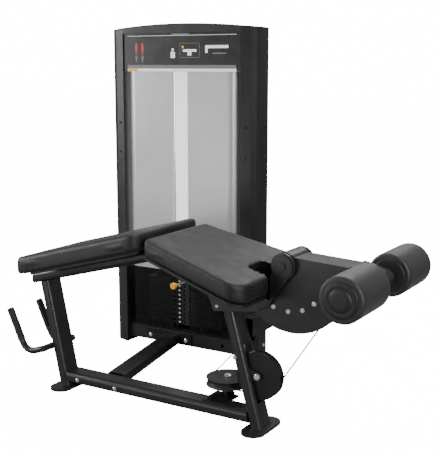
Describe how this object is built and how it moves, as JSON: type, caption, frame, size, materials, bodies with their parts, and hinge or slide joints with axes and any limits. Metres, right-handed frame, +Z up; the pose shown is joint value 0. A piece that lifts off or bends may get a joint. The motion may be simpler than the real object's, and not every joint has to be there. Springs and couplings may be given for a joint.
{
  "type": "prone_leg_curl_machine",
  "caption": "Prone leg curl gym machine: angled two-part padded bench on a tube frame, pivoting curl arm with ankle rollers, cable and pulleys to a shrouded weight stack tower.",
  "frame": {"origin": "centre of the machine's footprint box, on the floor", "axes": "X along the bench from the handles to the rollers, Y from the bench to the weight stack tower, Z up"},
  "size_m": [1.8655, 1.1986, 1.661],
  "materials": {
    "frame_black": "black powder coat",
    "pad_black": "grained vinyl",
    "board": "dark stained plywood",
    "roller_vinyl": "satin vinyl over foam",
    "black_plastic": "moulded",
    "rubber": "moulded",
    "chrome": "polished plating",
    "steel": "machined",
    "plate_black": "painted",
    "cable": "coated steel cable",
    "shroud_silver": "satin silver",
    "shroud_white": "satin white",
    "orange": "moulded",
    "smoked": "dark smoked polycarbonate"
  },
  "bodies": {
    "machine_frame": {"feet": "frame_black", "base_rail": "frame_black", "leg_left": "frame_black", "leg_right": "frame_black", "leg_head": "frame_black", "chest_beam": "frame_black", "thigh_beam": "frame_black", "handles": "frame_black", "bracket_near": "frame_black", "bracket_far": "frame_black", "column_right": "frame_black", "column_left": "frame_black", "crossbeam_low": "frame_black", "crossbeam_top": "frame_black", "crown": "frame_black", "link_tube": "frame_black", "rear_tie": "frame_black", "pulley_brackets": "frame_black", "lower_guards": "smoked", "chest_pad": "pad_black", "thigh_pad": "pad_black", "chest_board": "board", "thigh_board": "board", "grips": "rubber", "bumpers": "rubber", "bearings": "steel", "hub_caps": "black_plastic", "placard": "black_plastic", "pulley_bolts": "chrome", "guide_rods": "chrome", "frame_bolts": "chrome", "cable_run": "cable", "cable_drop": "cable", "plates": "plate_black", "header_strip": "shroud_silver", "shroud_right": "shroud_silver", "shroud_left": "shroud_silver", "rear_shroud": "shroud_white"},
    "arm": {"pivot_shaft": "steel", "arm": "frame_black", "cam_plates": "frame_black", "cam_track": "black_plastic", "cam_spacers": "steel", "cam_bolts": "chrome", "cam_cable": "cable", "roller_axle": "steel"},
    "roller_near_set": {"roller_near": "roller_vinyl", "caps_near": "black_plastic"},
    "roller_far_set": {"roller_far": "roller_vinyl", "caps_far": "black_plastic"},
    "stack": {"top_plate": "plate_black", "head_plate": "plate_black", "stem": "steel"},
    "selector_pin": {"pin": "chrome", "pin_knob": "orange"},
    "wheel_v": {"pulley_v": "black_plastic"},
    "wheel_h": {"pulley_h": "black_plastic"},
    "wheel_base": {"pulley_base": "black_plastic"},
    "wheel_top_right": {"pulley_top_right": "black_plastic"},
    "wheel_top_mid": {"pulley_top_mid": "black_plastic"}
  },
  "joints": [
    {"name": "arm_pivot", "type": "hinge", "parent": "machine_frame", "child": "arm", "pos_m": [0.4925, -0.24425, 0.709], "axis": [0, -1, 0], "range_deg": [0, 100]},
    {"name": "roller_near_spin", "type": "hinge", "parent": "arm", "child": "roller_near_set", "pos_m": [0.8465, -0.47025, 0.68], "axis": [0, 1, 0], "continuous": true},
    {"name": "roller_far_spin", "type": "hinge", "parent": "arm", "child": "roller_far_set", "pos_m": [0.8465, -0.01825, 0.68], "axis": [0, 1, 0], "continuous": true},
    {"name": "stack_lift", "type": "slide", "parent": "machine_frame", "child": "stack", "axis": [0, 0, 1], "range_m": [0, 0.41], "deforming": ["cable_drop"]},
    {"name": "pin_pull", "type": "slide", "parent": "stack", "child": "selector_pin", "axis": [0, -1, 0], "range_m": [0, 0.1]},
    {"name": "wheel_v_spin", "type": "hinge", "parent": "machine_frame", "child": "wheel_v", "pos_m": [0.3525, -0.24425, 0.226], "axis": [0, -1, 0], "continuous": true},
    {"name": "wheel_h_spin", "type": "hinge", "parent": "machine_frame", "child": "wheel_h", "pos_m": [0.1495, -0.15825, 0.142], "axis": [0, 0, 1], "continuous": true},
    {"name": "wheel_base_spin", "type": "hinge", "parent": "machine_frame", "child": "wheel_base", "pos_m": [-0.08878, 0.49451, 0.172], "axis": [-0.9746, -0.224, 0], "continuous": true},
    {"name": "wheel_top_right_spin", "type": "hinge", "parent": "machine_frame", "child": "wheel_top_right", "pos_m": [-0.1295, 0.52375, 1.515], "axis": [0, 1, 0], "continuous": true},
    {"name": "wheel_top_mid_spin", "type": "hinge", "parent": "machine_frame", "child": "wheel_top_mid", "pos_m": [-0.4525, 0.52375, 1.515], "axis": [0, 1, 0], "continuous": true}
  ],
  "couplings": [
    {"joint": "stack_lift", "follows": "arm_pivot", "m_per_rad": 0.2332},
    {"joint": "wheel_v_spin", "follows": "arm_pivot", "ratio": 2.7762},
    {"joint": "wheel_h_spin", "follows": "arm_pivot", "ratio": 2.7116},
    {"joint": "wheel_base_spin", "follows": "arm_pivot", "ratio": 7.7733},
    {"joint": "wheel_top_right_spin", "follows": "arm_pivot", "ratio": 6.8588},
    {"joint": "wheel_top_mid_spin", "follows": "arm_pivot", "ratio": 6.8588}
  ]
}
